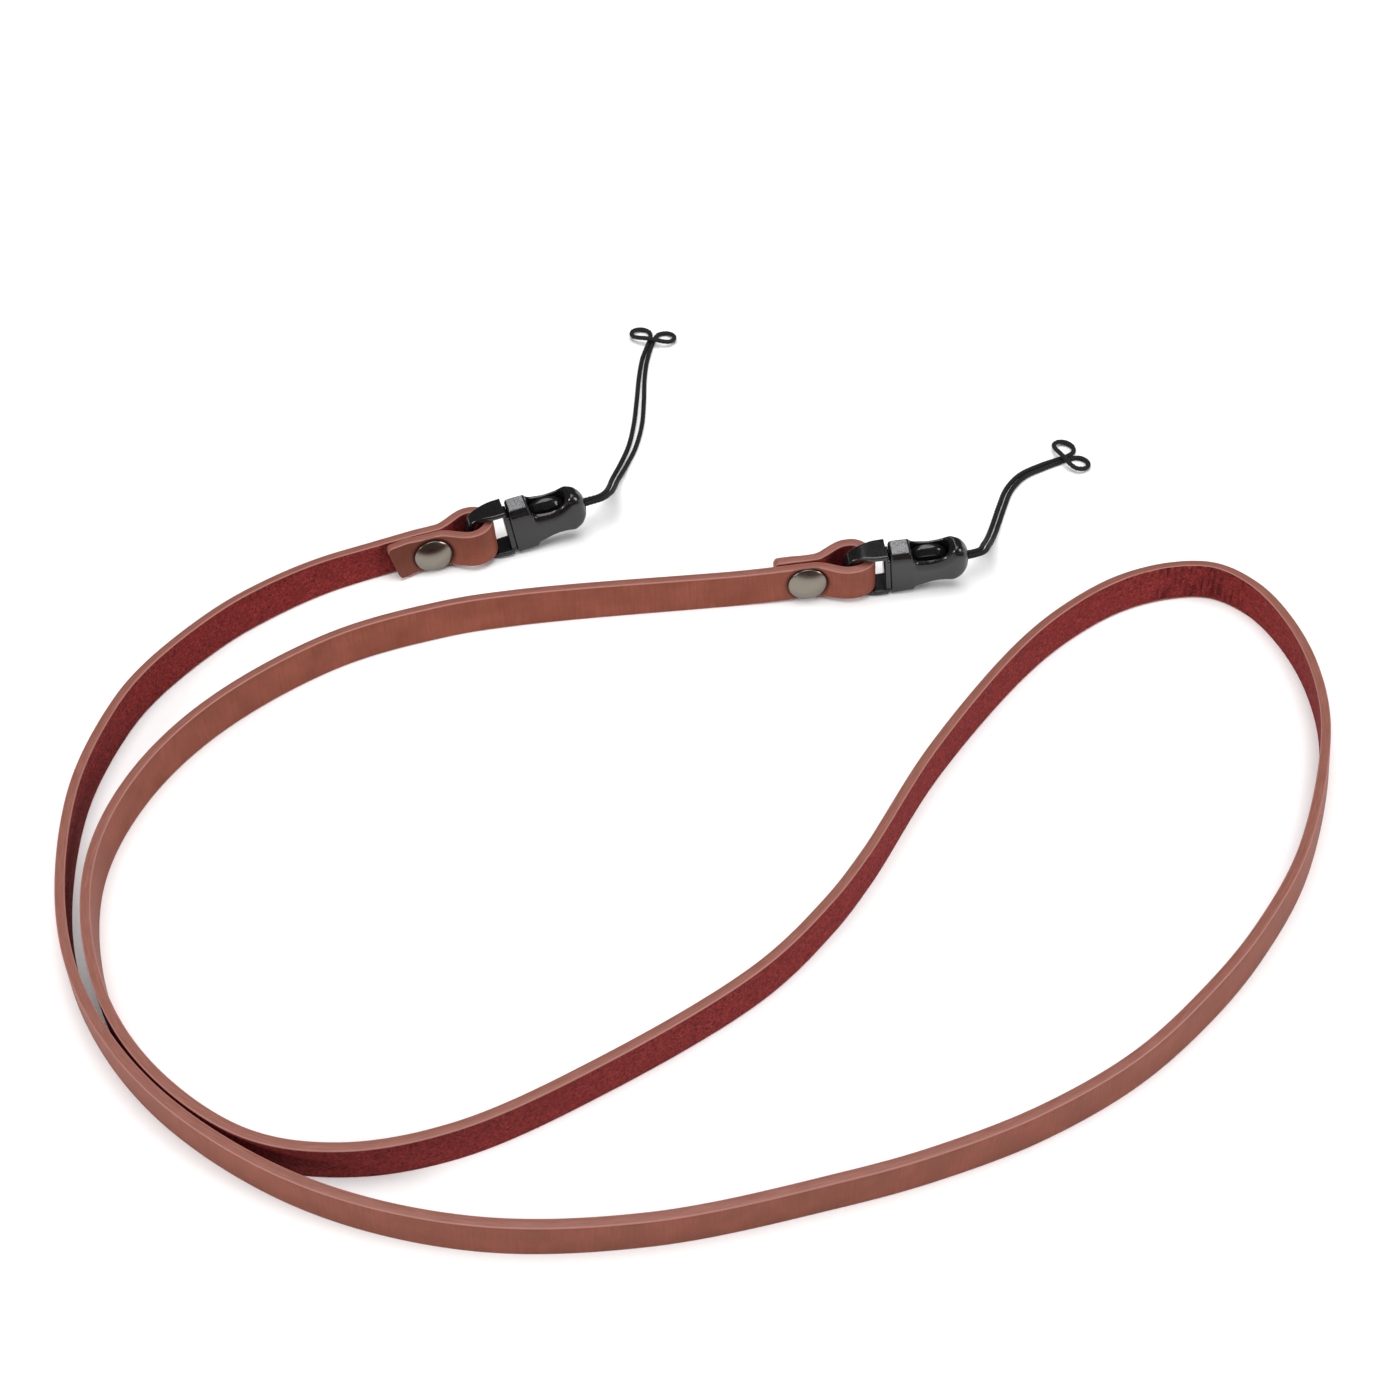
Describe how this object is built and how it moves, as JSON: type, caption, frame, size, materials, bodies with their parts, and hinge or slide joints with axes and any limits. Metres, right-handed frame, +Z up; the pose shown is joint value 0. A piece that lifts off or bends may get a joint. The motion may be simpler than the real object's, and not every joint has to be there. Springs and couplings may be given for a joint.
{
  "type": "camera neck strap",
  "caption": "Narrow leather camera neck strap laid on edge in open loops, with riveted folded ends, moulded quick-release clips and thin braided cord loops.",
  "frame": {"origin": "centre of the strap's and clips' box in plan, on the surface the strap lies on", "axes": "+X to the viewer's right, along the longest way of the laid strap; +Y away from the viewer; +Z up"},
  "size_m": [0.2332, 0.2372, 0.0127],
  "materials": {
    "leather": "smooth terracotta grain outside, dark red flesh side inside, burnished edges",
    "rivet_metal": "polished gunmetal plate",
    "clip_plastic": "black, fine moulded texture",
    "cord_braid": "tight black braid"
  },
  "bodies": {
    "root": {"leather_strap": "leather", "rivet_cap_left": "rivet_metal", "rivet_back_left": "rivet_metal", "clip_ring_left": "clip_plastic", "clip_socket_left": "clip_plastic", "cord_loop_left": "cord_braid", "rivet_cap_right": "rivet_metal", "rivet_back_right": "rivet_metal", "clip_ring_right": "clip_plastic", "clip_socket_right": "clip_plastic", "cord_loop_right": "cord_braid"}
  },
  "joints": []
}
